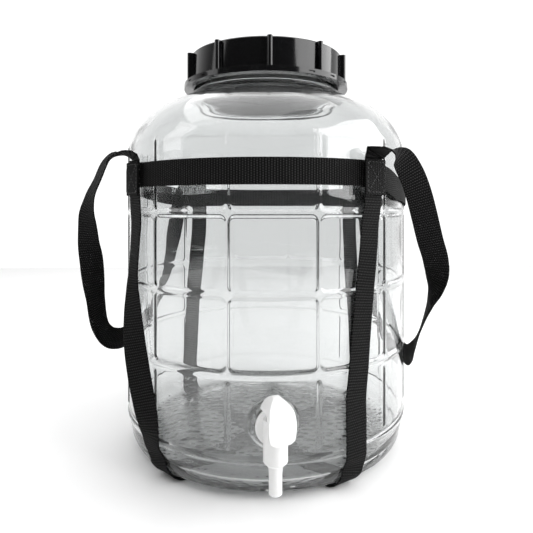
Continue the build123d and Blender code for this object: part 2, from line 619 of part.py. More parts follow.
right_handle_path = handle(
    (TAB_FRONT_RIGHT, WEB_R2, FRONT_HANDLE_Z, FRONT_TAB_HIGH),
    (TAB_REAR_RIGHT, WEB_R1, REAR_HANDLE_Z, REAR_TAB_HIGH), -1, [
    (36.2, 8.1, 259.3, -0.82, -0.58, 0.00),
    (38.9, 9.4, 261.0, -0.83, -0.56, 0.00),
    (43.0, 12.6, 260.4, -0.86, -0.52, 0.00),
    (46.2, 15.3, 254.5, -0.90, -0.43, 0.00),
    (48.6, 18.2, 245.2, -0.95, -0.31, 0.00),
    (51.4, 22.7, 227.4, -0.99, 0.09, 0.10),
    (53.5, 25.5, 205.2, -0.94, 0.33, 0.00),
    (55.1, 28.3, 188.8, -0.92, 0.40, 0.00),
    (56.6, 30.8, 172.3, -0.85, 0.53, 0.00),
    (57.9, 31.0, 159.7, -0.56, 0.82, 0.00),
    (59.4, 29.1, 146.5, -0.12, 0.99, 0.05),
    (61.2, 25.5, 134.4, 0.12, 0.96, 0.25),
    (63.6, 20.6, 121.7, 0.24, 0.80, 0.55),
    (67.8, 15.0, 107.5, 0.23, 0.55, 0.81),
    (73.9, 10.0, 90.9, 0.11, 0.20, 0.97),
    (82.5, 6.8, 76.5, 0.00, 0.05, 1.00),
    (95.1, 7.0, 72.0, 0.00, 0.00, 1.00),
    (106.2, 10.4, 79.5, -0.01, -0.30, 0.95),
    (114.9, 15.4, 98.5, 0.02, -0.71, 0.71),
    (120.9, 20.9, 127.0, 0.16, -0.96, 0.25),
    (124.6, 26.0, 160.0, 0.41, -0.91, 0.00),
    (126.9, 28.5, 194.0, 0.56, -0.83, 0.00),
    (128.2, 27.1, 221.0, 0.63, -0.78, 0.00),
    (129.0, 20.7, 239.0, 0.63, -0.77, 0.00),
    (129.3, 12.1, 245.6, 0.63, -0.77, 0.00),
])

save(jar(), "glass_jar")
save(lid(), "lid")
save(lid_liner(), "lid_liner")
save(tap_body(), "tap_body")
save(tap_plug(), "tap_plug")
save(washer(OUTER_GASKET_Y, GASKET_THICK), "tap_outer_gasket")
save(washer(INNER_GASKET_Y, GASKET_THICK), "tap_inner_gasket")
save(tap_nut(), "tap_nut")
save(front_band(), "front_band")
save(rear_band(), "rear_band")
strap_right, strap_left = straps()
save(strap_right, "strap_front_right")
save(strap_left, "strap_front_left")
save(ribbon(left_handle_path), "left_handle")
save(ribbon(right_handle_path), "right_handle")
save(tab(TAB_FRONT_LEFT, FRONT_TAB_RADIUS, FRONT_TAB_LOW, FRONT_TAB_HIGH), "tab_front_left")
save(tab(TAB_FRONT_RIGHT, FRONT_TAB_RADIUS, FRONT_TAB_LOW, FRONT_TAB_HIGH), "tab_front_right")
save(tab(TAB_REAR_LEFT, REAR_TAB_RADIUS, REAR_TAB_LOW, REAR_TAB_HIGH), "tab_rear_left")
save(tab(TAB_REAR_RIGHT, REAR_TAB_RADIUS, REAR_TAB_LOW, REAR_TAB_HIGH), "tab_rear_right")
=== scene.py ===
import math

import bmesh
import bpy
import numpy as np
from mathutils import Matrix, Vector


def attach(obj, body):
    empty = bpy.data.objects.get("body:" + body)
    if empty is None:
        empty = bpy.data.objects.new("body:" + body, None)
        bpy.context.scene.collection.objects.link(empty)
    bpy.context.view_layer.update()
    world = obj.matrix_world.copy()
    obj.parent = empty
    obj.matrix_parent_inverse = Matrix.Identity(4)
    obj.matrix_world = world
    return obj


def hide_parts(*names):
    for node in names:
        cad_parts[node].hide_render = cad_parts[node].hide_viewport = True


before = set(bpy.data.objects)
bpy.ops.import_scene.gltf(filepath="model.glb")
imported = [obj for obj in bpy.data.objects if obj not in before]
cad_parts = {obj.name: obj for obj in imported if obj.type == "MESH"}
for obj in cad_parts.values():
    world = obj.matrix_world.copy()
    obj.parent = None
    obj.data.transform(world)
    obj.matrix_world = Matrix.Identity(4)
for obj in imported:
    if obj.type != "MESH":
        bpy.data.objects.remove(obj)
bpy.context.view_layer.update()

# Looks of a glass jar with a screw lid, a draining tap and a webbing carrying harness.
# The frame's axes are kept: metres, +Z up, origin on the jar's axis at the floor, tap at -Y.
# Tables of places are in millimetres, and MM turns them into metres.
MM = 0.001

# Camera: level, with the frame shifted down, as the photograph was taken
CAMERA_DISTANCE = 487.5 * MM
CAMERA_TURN = -2.5
CAMERA_HEIGHT = 215.8 * MM
LENS = 33.4
SHIFT_X = 0.0011
SHIFT_Y = -0.1118

# Jar
BODY_RADIUS = 130.0
WALL = 4.0
BASE_Z = 1.6
FLOOR_THICK = 7.0
PUNT_RISE = 5.0
PUNT_RADIUS = 84.0
FOOT_INNER_RADIUS = 104.0
HEEL_RADIUS = 15.0
HEEL_CENTRE_RADIUS = 112.2
HEEL_TOP_Z = 36.0
SHOULDER_Z = 268.0
NECK_RADIUS = 68.0
NECK_BASE_Z = 321.0
MOUTH_RADIUS = 63.0
MOUTH_Z = 354.1
NECK_BEAD_Z = 323.0
NECK_BEAD_PROUD = 4.6
NECK_BEAD_HALF = 2.4
BEAD_HALF = 2.3
BEAD_PROUD = 1.0
BEAD_COUNT = 12
BEAD_TOP_Z = 270.0
RING_HALF = 3.4
RING_Z = (31.5, 93.5, 151.0, 211.0)
LOW_BEAD = (RING_Z[0] + 9.0, RING_Z[1] - 8.0)
PANEL_CORNER = 3.5
THREAD_PROUD = 1.4
THREAD_PITCH = 8.0
THREAD_LOW_Z = 333.0
THREAD_TURNS = 1.4

# Tap
TAP_Z = 59.0
PAD_RADIUS = 18.0
PAD_Y = 131.5
INNER_PAD_Y = 124.6
INNER_PAD_RADIUS = 15.0
STEM_HOLE = 8.3
DRILL_Y = 128.0
DRILL_LENGTH = 30.0

# Floor, in metres
FLOOR_HALF = 1.3

# Webbing
WEB_WIDTH = 20.0
WEB_THICK = 1.3
WEAVE_ROW = 2.1
WEAVE_COLUMN = 1.8
GAP = 0.3
LAYER = WEB_THICK + GAP
WEB_R0 = BODY_RADIUS + BEAD_PROUD + GAP + WEB_THICK / 2
WEB_R1 = WEB_R0 + LAYER
WEB_R2 = WEB_R1 + LAYER
TAB_CLEAR = 0.6
FRONT_TAB_RADIUS = WEB_R2 + LAYER + TAB_CLEAR
REAR_TAB_RADIUS = WEB_R1 + LAYER + TAB_CLEAR
TAB_HALF_ANGLE = 4.7
FRONT_LEFT = -55.5
FRONT_RIGHT = 35.4
REAR_LEFT = -144.8
REAR_RIGHT = 129.3
FRONT_BAND_Z = 242.0
REAR_BAND_Z = 227.0
FLOOR_FRONT_RIGHT = 25.7
FLOOR_REAR_LEFT = -135.5
FLOOR_FRONT_LEFT = -40.3
FLOOR_REAR_RIGHT = 121.5
FRONT_STRAP_TOP_Z = 241.5
REAR_STRAP_TOP_Z = 226.5
FRONT_HANDLE_Z = 243.5
REAR_HANDLE_Z = 228.5
FRONT_TAB_LOW = 225.0
FRONT_TAB_HIGH = 252.5
REAR_TAB_LOW = 213.0
REAR_TAB_HIGH = 237.5
STITCH_LENGTH = 2.2
STITCH_GAP = 1.0
STITCH_THICK = 0.45


# Materials
def material(name, **values):
    """A new material and its surface shader, with uniform values set on the shader's own sockets."""
    made = bpy.data.materials.new(name)
    made.use_nodes = True
    shader = made.node_tree.nodes["Principled BSDF"]
    for socket, value in values.items():
        shader.inputs[socket.replace("_", " ")].default_value = value
    return made, made.node_tree, shader


def node(tree, kind, values=None, **settings):
    made = tree.nodes.new(kind)
    for key, value in settings.items():
        setattr(made, key, value)
    for socket, value in (values or {}).items():
        made.inputs[socket].default_value = value
    return made


def maths(tree, operation, one, two=None, three=None):
    """A Math node whose inputs are sockets or numbers."""
    made = node(tree, "ShaderNodeMath", operation=operation)
    for i, value in enumerate((one, two, three)):
        if isinstance(value, (int, float)):
            made.inputs[i].default_value = value
        elif value is not None:
            tree.links.new(value, made.inputs[i])
    return made.outputs[0]


def bump(tree, shader, height, strength, distance):
    made = node(tree, "ShaderNodeBump", {"Strength": strength, "Distance": distance})
    tree.links.new(height, made.inputs["Height"])
    tree.links.new(made.outputs[0], shader.inputs["Normal"])


def noise(tree, coords, scale, detail=3.0):
    made = node(tree, "ShaderNodeTexNoise", {"Scale": scale, "Detail": detail})
    tree.links.new(coords, made.inputs["Vector"])
    return made.outputs["Fac"]


def glass_material():
    made, tree, shader = material(
        "clear_glass", Base_Color=(0.80, 0.81, 0.81, 1), Roughness=0.0, IOR=1.5,
        Transmission_Weight=0.98)
    at = node(tree, "ShaderNodeTexCoord").outputs["Object"]
    split = node(tree, "ShaderNodeSeparateXYZ")
    tree.links.new(at, split.inputs[0])
    # Mould ripples all over, and dimples over the base
    ripple = maths(tree, "MULTIPLY", noise(tree, at, 16.0, 1.0), 0.5)
    dimples = node(tree, "ShaderNodeTexVoronoi", {"Scale": 150.0, "Randomness": 0.55},
                   feature="SMOOTH_F1")
    tree.links.new(at, dimples.inputs["Vector"])
    low = node(tree, "ShaderNodeMapRange", {"From Min": 0.0085, "From Max": 0.0065})
    tree.links.new(split.outputs["Z"], low.inputs["Value"])
    stipple = maths(tree, "MULTIPLY", dimples.outputs["Distance"], low.outputs[0])
    height = maths(tree, "ADD", ripple, stipple)
    bump(tree, shader, height, 0.9, 0.0022)
    return made


def black_plastic():
    made, tree, shader = material(
        "black_plastic", Base_Color=(0.004, 0.004, 0.0045, 1), Roughness=0.12, IOR=1.5)
    at = node(tree, "ShaderNodeTexCoord").outputs["Object"]
    bump(tree, shader, noise(tree, at, 420.0, 2.0), 0.05, 0.0004)
    return made


def white_plastic():
    made, tree, shader = material(
        "white_plastic", Base_Color=(0.86, 0.86, 0.855, 1), Roughness=0.28, IOR=1.48,
        Subsurface_Weight=0.15, Subsurface_Radius=(0.004, 0.004, 0.004), Subsurface_Scale=0.6)
    at = node(tree, "ShaderNodeTexCoord").outputs["Object"]
    bump(tree, shader, noise(tree, at, 300.0, 2.0), 0.05, 0.0004)
    return made


def gasket_rubber():
    made, tree, shader = material(
        "gasket_rubber", Base_Color=(0.72, 0.72, 0.70, 1), Roughness=0.5)
    at = node(tree, "ShaderNodeTexCoord").outputs["Object"]
    bump(tree, shader, noise(tree, at, 900.0, 3.0), 0.1, 0.0004)
    return made


def liner_foam():
    made, tree, shader = material("liner_foam", Base_Color=(0.03, 0.03, 0.03, 1), Roughness=0.45)
    at = node(tree, "ShaderNodeTexCoord").outputs["Object"]
    bump(tree, shader, noise(tree, at, 1500.0, 3.0), 0.08, 0.0003)
    return made


def webbing_material(name, painted_highlight, painted_groove_shade):
    """A ribbed weave: rows across the webbing, broken into short floats along them, with painted
    shade in the grooves and a painted highlight on the raised floats.
    """
    made, tree, shader = material(name, Roughness=0.7, Specular_IOR_Level=0.12)
    uv = node(tree, "ShaderNodeUVMap", uv_map="UVMap")
    split = node(tree, "ShaderNodeSeparateXYZ")
    tree.links.new(uv.outputs[0], split.inputs[0])
    across = split.outputs["X"]
    along = split.outputs["Y"]
    turn = 2 * math.pi
    row = maths(tree, "MULTIPLY", along, turn / (WEAVE_ROW * MM))
    half_row = maths(tree, "MULTIPLY", row, 0.5)
    ribs = maths(tree, "MULTIPLY_ADD", maths(tree, "SINE", row), 0.5, 0.5)
    swap = maths(tree, "MULTIPLY", maths(tree, "SIGN", maths(tree, "SINE", half_row)),
                 math.pi / 2)
    column = maths(tree, "MULTIPLY", across, turn / (WEAVE_COLUMN * MM))
    floats = maths(tree, "SINE", maths(tree, "ADD", column, swap))
    floats = maths(tree, "MULTIPLY_ADD", floats, 0.5, 0.5)
    height = maths(tree, "MULTIPLY", ribs, maths(tree, "MULTIPLY_ADD", floats, 0.75, 0.25))
    fuzz = noise(tree, node(tree, "ShaderNodeTexCoord").outputs["Object"], 1400.0, 3.0)
    height = maths(tree, "ADD", height, maths(tree, "MULTIPLY", fuzz, 0.25))
    # Base colour follows the weave's height: painted shade where it is low, painted highlight where
    # it is high
    ramp = node(tree, "ShaderNodeValToRGB")
    ramp.color_ramp.elements[0].position = 0.35
    ramp.color_ramp.elements[0].color = (painted_groove_shade, painted_groove_shade, painted_groove_shade, 1)
    ramp.color_ramp.elements[1].position = 1.0
    ramp.color_ramp.elements[1].color = (painted_highlight, painted_highlight, painted_highlight, 1)
    tree.links.new(height, ramp.inputs[0])
    tree.links.new(ramp.outputs[0], shader.inputs["Base Color"])
    bump(tree, shader, height, 1.0, 0.0009)
    return made


def thread_material():
    made, tree, shader = material("stitch_thread", Base_Color=(0.055, 0.055, 0.056, 1),
                                  Roughness=0.5, Sheen_Weight=0.2)
    at = node(tree, "ShaderNodeTexCoord").outputs["Object"]
    bump(tree, shader, noise(tree, at, 3000.0, 2.0), 0.3, 0.0002)
    return made


def floor_material():
    made, tree, shader = material("floor", Base_Color=(0.93, 0.93, 0.93, 1), Roughness=0.9)
    at = node(tree, "ShaderNodeTexCoord").outputs["Object"]
    bump(tree, shader, noise(tree, at, 60.0, 2.0), 0.02, 0.0005)
    return made


# Shapes
def new_object(name, vertices, faces, look, smooth=True):
    mesh = bpy.data.meshes.new(name)
    mesh.from_pydata(vertices, [], faces)
    mesh.materials.append(look)
    if smooth:
        mesh.shade_smooth()
    made = bpy.data.objects.new(name, mesh)
    bpy.context.scene.collection.objects.link(made)
    return made


def dress(made, body, slot, *nodes):
    """The piece moves with its body and stands for its nodes, whose CAD copies are hidden; slot is
    not used.
    """
    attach(made, body)
    if nodes:
        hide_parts(*nodes)
    return made


def step_up(value):
    """From 0 to 1, smooth at both ends."""
    t = np.clip(value, 0, 1)
    return t * t * (3 - 2 * t)


def curve(points, start, end, steps):
    """Points on a smooth line through the given ones, with its end directions."""
    points = [np.array(p, float) for p in points]
    slopes = [(points[i + 1] - points[i - 1]) / 2 for i in range(1, len(points) - 1)]
    first = np.array(start) / np.hypot(*start) * np.linalg.norm(points[1] - points[0])
    last = np.array(end) / np.hypot(*end) * np.linalg.norm(points[-1] - points[-2])
    slopes = [first] + slopes + [last]
    out = []
    for i in range(len(points) - 1):
        for j in range(steps):
            t = j / steps
            out.append((2 * t ** 3 - 3 * t ** 2 + 1) * points[i]
                       + (t ** 3 - 2 * t ** 2 + t) * slopes[i]
                       + (-2 * t ** 3 + 3 * t ** 2) * points[i + 1]
                       + (t ** 3 - t ** 2) * slopes[i + 1])
    return [tuple(p) for p in out] + [tuple(points[-1])]


def wall_heights():
    """Heights of the rows on the straight wall: close together round the rings and the tap."""
    heights = set(np.round(np.arange(HEEL_TOP_Z + 2, SHOULDER_Z, 6.0), 2))
    for ring in RING_Z:
        for k in range(-10, 11):
            heights.add(round(ring + k, 2))
    for k in range(-20, 21):
        heights.add(round(TAP_Z + k, 2))
    for k in range(-4, 5):
        heights.add(round(BEAD_TOP_Z - 6 + k, 2))
    heights = sorted(h for h in heights if HEEL_TOP_Z < h < SHOULDER_Z)
    out = [heights[0]]
    for h in heights[1:]:
        if h - out[-1] > 0.6:
            out.append(h)
    return out


def outer_profile():
    rows = [(1.0, BASE_Z + PUNT_RISE), (40.0, BASE_Z + PUNT_RISE),
            (PUNT_RADIUS, BASE_Z + PUNT_RISE)]
    rows += curve([(PUNT_RADIUS, BASE_Z + PUNT_RISE), (FOOT_INNER_RADIUS, BASE_Z)],
                  (1, 0), (1, -0.2), 8)[1:]
    rows.append(((FOOT_INNER_RADIUS + HEEL_CENTRE_RADIUS) / 2, BASE_Z))
    for k in range(13):
        turn = math.radians(90 * k / 12)
        rows.append((HEEL_CENTRE_RADIUS + HEEL_RADIUS * math.sin(turn),
                     BASE_Z + HEEL_RADIUS - HEEL_RADIUS * math.cos(turn)))
    top = rows[-1]
    rise = HEEL_TOP_Z - top[1]
    for k in range(1, 22):
        t = k / 22
        rows.append((top[0] + (BODY_RADIUS - top[0]) * float(step_up(0.5 + t / 2) * 2 - 1),
                     top[1] + rise * t))
    rows += [(BODY_RADIUS, z) for z in wall_heights()]
    rows += curve([(BODY_RADIUS, SHOULDER_Z), (127.6, 277.5), (121.0, 290.0), (108.5, 303.0),
                   (92.0, 312.5), (76.0, 318.3), (NECK_RADIUS, NECK_BASE_Z)],
                  (0, 1), (-1, 0.28), 5)
    rows += [(NECK_RADIUS, z) for z in np.arange(NECK_BASE_Z + 0.4, MOUTH_Z - 1.2, 0.8)]
    for k in range(5):
        turn = math.radians(90 * k / 4)
        rows.append((NECK_RADIUS - 1.2 + 1.2 * math.cos(turn),
                     MOUTH_Z - 1.2 + 1.2 * math.sin(turn)))
    return rows


def inner_profile():
    floor_z = BASE_Z + FLOOR_THICK
    inside = BODY_RADIUS - WALL
    rows = []
    for k in range(5):
        turn = math.radians(90 * k / 4)
        rows.append((MOUTH_RADIUS + 1.2 - 1.2 * math.sin(turn),
                     MOUTH_Z - 1.2 + 1.2 * math.cos(turn)))
    rows += curve([(MOUTH_RADIUS, NECK_BASE_Z - 1.0), (74.0, 314.6), (90.0, 308.8),
                   (105.6, 299.8), (117.2, 287.6), (123.7, 276.0), (inside, SHOULDER_Z - 1.0)],
                  (0.3, -1), (0, -1), 4)
    rows += [(inside, float(z)) for z in np.arange(250.0, TAP_Z + 22, -20.0)]
    rows += [(inside, float(z)) for z in np.arange(TAP_Z + 18, TAP_Z - 19, -2.0)]
    rows += curve([(inside, HEEL_TOP_Z), (inside - 5.0, floor_z + 5.2),
                   (inside - 17.0, floor_z)], (0, -1), (-1, 0), 6)
    rows += curve([(FOOT_INNER_RADIUS, floor_z), (PUNT_RADIUS, floor_z + PUNT_RISE)],
                  (-1, 0.1), (-1, 0.0), 6)
    rows += [(40.0, floor_z + PUNT_RISE), (1.0, floor_z + PUNT_RISE)]
    return rows


def jar_columns():
    """Directions round the jar, in degrees: close together at the beads and at the tap."""
    spots = set()
    for i in range(BEAD_COUNT):
        bead = (i + 0.5) * 360 / BEAD_COUNT
        near = list(np.arange(-3.6, 3.7, 0.6)) + [s * d for s in (-1, 1)
                                                 for d in (4.6, 5.8, 7.2, 8.8)]
        for d in near:
            spots.add(round((bead + math.degrees(d / BODY_RADIUS)) % 360, 3))
        for k in range(1, 11):
            spots.add(round((bead + 4.2 + 21.6 * k / 11) % 360, 3))
    for k in range(-14, 15):
        spots.add(round((k * 0.62) % 360, 3))
    out = []
    for spot in sorted(spots):
        if not out or spot - out[-1] > 0.15:
            out.append(spot)
    return np.radians(np.array(out))


def relief(turn, z):
    """How far the moulded beads and rings stand out of the wall, in millimetres."""
    step = 2 * math.pi / BEAD_COUNT
    side = np.abs((turn % step) - step / 2) * BODY_RADIUS
    ring = np.min([np.abs(z - r) for r in RING_Z[1:]], axis=0)
    x = BEAD_HALF + PANEL_CORNER - side
    y = RING_HALF + PANEL_CORNER - ring
    corner = np.hypot(np.maximum(x, 0), np.maximum(y, 0))
    border = corner - PANEL_CORNER + np.minimum(np.maximum(x, y), 0)
    panels = step_up(border / BEAD_HALF) * step_up((BEAD_TOP_Z + 2 - z) / 5.0)
    below = z < RING_Z[1]
    rings_only = step_up((RING_HALF - np.abs(z - RING_Z[1])) / BEAD_HALF)
    panels = np.where(below, rings_only, panels)
    lowest = step_up((RING_HALF - np.abs(z - RING_Z[0])) / BEAD_HALF)
    past = np.maximum(np.maximum(LOW_BEAD[0] - z, z - LOW_BEAD[1]), 0)
    short = step_up((BEAD_HALF + 0.3 - np.hypot(side, past)) / BEAD_HALF) * (z < RING_Z[1])
    return BEAD_PROUD * np.maximum(np.maximum(panels, lowest), short)


def thread(turns, z):
    """How far the neck's thread stands out at one height, in millimetres."""
    out = 0
    for lap in range(3):
        wound = lap + turns / (2 * math.pi)
        centre = THREAD_LOW_Z + THREAD_PITCH * wound
        there = step_up(np.minimum(wound, THREAD_TURNS - wound) * 12)
        bead = step_up(1.25 - np.abs(z - centre) / 1.6)
        out = out + THREAD_PROUD * bead * there
    return out


def seated(radius, r, z, turns, is_outer):
    """The row's radius, with the flat seats for the tap's gaskets."""
    front = np.cos(turns)
    side = np.hypot(r * np.sin(turns), z - TAP_Z)
    if is_outer and abs(z - TAP_Z) < PAD_RADIUS + 2:
        pad = PAD_Y / np.maximum(front, 0.5)
        amount = step_up((PAD_RADIUS + 0.6 - side) / 1.4) * (front > 0)
        return radius + (np.maximum(pad, radius) - radius) * amount
    if not is_outer and abs(z - TAP_Z) < INNER_PAD_RADIUS + 4:
        pad = INNER_PAD_Y / np.maximum(front, 0.5)
        amount = step_up((INNER_PAD_RADIUS + 2.0 - side) / 2.5) * (front > 0)
        return radius + (np.minimum(pad, radius) - radius) * amount
    return radius


def drill_stem_hole(made):
    """The hole in the wall for the tap's stem."""
    bpy.ops.mesh.primitive_cylinder_add(
        vertices=64, radius=STEM_HOLE * MM, depth=DRILL_LENGTH * MM,
        location=(0, -DRILL_Y * MM, TAP_Z * MM), rotation=(math.pi / 2, 0, 0))
    drill = bpy.context.object
    cut = made.modifiers.new("hole", "BOOLEAN")
    cut.object = drill
    cut.solver = "EXACT"
    bpy.context.view_layer.update()
    done = bpy.data.meshes.new_from_object(
        made.evaluated_get(bpy.context.evaluated_depsgraph_get()))
    made.modifiers.clear()
    made.data = done
    done.set_sharp_from_angle(angle=math.radians(50))
    bpy.data.objects.remove(drill)


def jar():
    """The glass as one closed skin: the outer rows, the mouth's rim, then the inner rows."""
    turns = jar_columns()
    outer = outer_profile()
    inner = inner_profile()
    rows = []
    for i, (r, z) in enumerate(outer + inner):
        radius = np.full(len(turns), r)
        height = np.full(len(turns), z)
        is_outer = i < len(outer)
        if is_outer and HEEL_TOP_Z - 12 < z < BEAD_TOP_Z + 4:
            radius = radius + relief(turns, height)
        if is_outer and abs(z - NECK_BEAD_Z) < NECK_BEAD_HALF and r > NECK_RADIUS - 1:
            away = (z - NECK_BEAD_Z) / NECK_BEAD_HALF
            radius = radius + NECK_BEAD_PROUD * math.sqrt(max(0.0, 1 - away ** 2))
        if is_outer and NECK_BEAD_Z + 4 < z < MOUTH_Z - 2:
            radius = radius + thread(turns, z)
        radius = seated(radius, r, z, turns, is_outer)
        rows.append(np.stack([radius * np.sin(turns), -radius * np.cos(turns), height], 1))
    across = len(turns)
    vertices = np.concatenate(rows) * MM
    faces = []
    for i in range(len(rows) - 1):
        for j in range(across):
            k = (j + 1) % across
            faces.append((i * across + j, i * across + k, (i + 1) * across + k,
                          (i + 1) * across + j))
    last = (len(rows) - 1) * across
    faces.append(tuple(reversed(range(across))))
    faces.append(tuple(range(last, last + across)))
    made = new_object("jar_glass", vertices.tolist(), faces, glass_material())
    drill_stem_hole(made)
    return dress(made, "jar", "clear_glass", "glass_jar")


def moulded(node_name, body, slot, look, edge):
    """A copy of a CAD piece with its sharp edges rounded."""
    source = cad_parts[node_name]
    mesh = source.data.copy()
    work = bmesh.new()
    work.from_mesh(mesh)
    bmesh.ops.remove_doubles(work, verts=work.verts, dist=1e-6)
    bmesh.ops.dissolve_limit(work, angle_limit=math.radians(0.2), verts=work.verts,
                             edges=work.edges)
    work.to_mesh(mesh)
    work.free()
    mesh.materials.clear()
    mesh.materials.append(look)
    mesh.shade_smooth()
    mesh.set_sharp_from_angle(angle=math.radians(28))
    made = bpy.data.objects.new(node_name + "_shape", mesh)
    bpy.context.scene.collection.objects.link(made)
    if edge:
        round_off = made.modifiers.new("edges", "BEVEL")
        round_off.width = edge * MM
        round_off.segments = 3
        round_off.limit_method = "ANGLE"
        round_off.angle_limit = math.radians(40)
        round_off.harden_normals = True
    return dress(made, body, slot, node_name)


# Webbing
def polar(angle, radius, z):
    a = math.radians(angle)
    return np.array((radius * math.sin(a), -radius * math.cos(a), z))


def around(angle):
    a = math.radians(angle)
    return np.array((math.cos(a), math.sin(a), 0.0))


def smoothed(stations, step):
    """Rows of centre and direction across, close together, that never overshoot the stations."""
    rows = np.array([list(centre) + list(across) for centre, across in stations], float)
    gaps = np.linalg.norm(np.diff(rows[:, :3], axis=0), axis=1)
    rates = np.diff(rows, axis=0) / gaps[:, None]
    bends = np.zeros_like(rows)
    bends[0] = rates[0]
    bends[-1] = rates[-1]
    both = rates[:-1] * rates[1:]
    total = rates[:-1] + rates[1:]
    bends[1:-1] = np.where(both > 0, 2 * both / np.where(total == 0, 1, total), 0)
    out = []
    for i in range(len(rows) - 1):
        count = max(1, math.ceil(gaps[i] / step))
        for j in range(count):
            t = j / count
            out.append((2 * t ** 3 - 3 * t ** 2 + 1) * rows[i]
                       + (t ** 3 - 2 * t ** 2 + t) * gaps[i] * bends[i]
                       + (-2 * t ** 3 + 3 * t ** 2) * rows[i + 1]
                       + (t ** 3 - t ** 2) * gaps[i] * bends[i + 1])
    return np.array(out + [rows[-1]])


def section(width, thick):
    """Places round a strip's section, as (across, out), with rounded selvages."""
    half = width / 2
    flat = np.linspace(-half + thick / 2, half - thick / 2, 11)
    out = [(x, thick / 2) for x in flat]
    for k in (30, 60, 90, 120, 150):
        a = math.radians(k)
        out.append((half - thick / 2 + thick / 2 * math.sin(a), thick / 2 * math.cos(a)))
    out += [(x, -thick / 2) for x in flat[::-1]]
    for k in (30, 60, 90, 120, 150):
        a = math.radians(k)
        out.append((-half + thick / 2 - thick / 2 * math.sin(a), -thick / 2 * math.cos(a)))
    return out


def webbing(name, stations, look, nodes, width=WEB_WIDTH, thick=WEB_THICK, step=3.0):
    """A strip of webbing, with its weave laid out along it."""
    rows = smoothed(stations, step)
    ring = section(width, thick)
    vertices = []
    lengths = [0.0]
    for i, row in enumerate(rows):
        along = rows[min(i + 1, len(rows) - 1), :3] - rows[max(i - 1, 0), :3]
        along = along / np.linalg.norm(along)
        across = row[3:] - along * np.dot(row[3:], along)
        across = across / np.linalg.norm(across)
        out = np.cross(along, across)
        for side, up in ring:
            vertices.append(tuple((row[:3] + across * side + out * up) * MM))
        if i:
            lengths.append(lengths[-1] + np.linalg.norm(row[:3] - rows[i - 1, :3]))
    count = len(ring)
    faces = []
    for i in range(len(rows) - 1):
        for j in range(count):
            k = (j + 1) % count
            faces.append((i * count + j, (i + 1) * count + j, (i + 1) * count + k,
                          i * count + k))
    faces.append(tuple(range(count)))
    faces.append(tuple(reversed(range((len(rows) - 1) * count, len(rows) * count))))
    made = new_object(name, vertices, faces, look)
    mesh = made.data
    mesh.set_sharp_from_angle(angle=math.radians(50))
    marks = mesh.uv_layers.new(name="UVMap")
    for loop in mesh.loops:
        i, j = divmod(loop.vertex_index, count)
        marks.data[loop.index].uv = (ring[j][0] * MM, lengths[i] * MM)
    return dress(made, "jar", "black_webbing", *nodes)


def table(rows):
    """Stations from rows of angle, distance off the wall, height and the direction across."""
    return [(polar(a, BODY_RADIUS + off, z), (u, v, w)) for a, off, z, u, v, w in rows]


def band(rows):
    return [(polar(a, r, z), (0, 0, 1)) for a, r, z in rows]


def wall_strap(rows):
    return [(polar(a, r, z), around(a)) for a, r, z in rows]


def base_curve(a, b, over):
    """Level stations of a strap below the jar from one foot point to the other."""
    start = polar(a, HEEL_CENTRE_RADIUS, WEB_THICK / 2)
    way = polar(b, HEEL_CENTRE_RADIUS, WEB_THICK / 2) - start
    across = np.cross(way / np.linalg.norm(way), (0, 0, 1))
    out = []
    for t in (0.03, 0.06, 0.13, 0.2, 0.3, 0.36, 0.48, 0.54, 0.64, 0.75, 0.87, 0.94, 0.97):
        lift = LAYER if over and 0.28 < t < 0.56 else 0.0
        out.append((start + way * t + np.array((0, 0, lift)), across))
    return out


def heel(angle_top, angle_floor, angle_far):
    """Stations round the jar's bottom corner, from the wall to the floor under the jar."""
    out = []
    way = polar(angle_far, HEEL_CENTRE_RADIUS, 0) - polar(angle_floor, HEEL_CENTRE_RADIUS, 0)
    across = np.cross(way / np.linalg.norm(way), (0, 0, 1))
    if np.dot(across, around(angle_floor)) < 0:
        across = -across
    reach = HEEL_RADIUS + GAP + WEB_THICK / 2
    for turn in (0, 15, 30, 45, 60, 75, 90):
        t = math.radians(turn)
        share = turn / 90
        centre = polar(angle_top + (angle_floor - angle_top) * share,
                       HEEL_CENTRE_RADIUS + reach * math.cos(t),
                       BASE_Z + HEEL_RADIUS - reach * math.sin(t))
        out.append((centre, around(angle_floor) * (1 - share) + across * share))
    return out


def base_strap(down, middle, up):
    """A strap from a front crossing, under the jar, up to the opposite rear crossing."""
    first = down[-1][1]
    path = list(down)
    for centre, side in middle:
        path.append((centre, side if np.dot(side, first) > 0 else -side))
    for centre, side in reversed(up):
        path.append((centre, -np.array(side)))
    return path


def handle(front, rear, turn, middle):
    """Stations of a handle from its front crossing, round its loop, to its rear crossing."""
    ends = []
    for angle, radius, low, high in (front, rear):
        rows = [(angle, radius, low), (angle, radius, (low + high) / 2),
                (angle, radius, high), (angle, radius + 0.5, high + 3.0)]
        ends.append([(c, side * turn) for c, side in wall_strap(rows)])
    return ends[0] + table(middle) + ends[1][::-1]


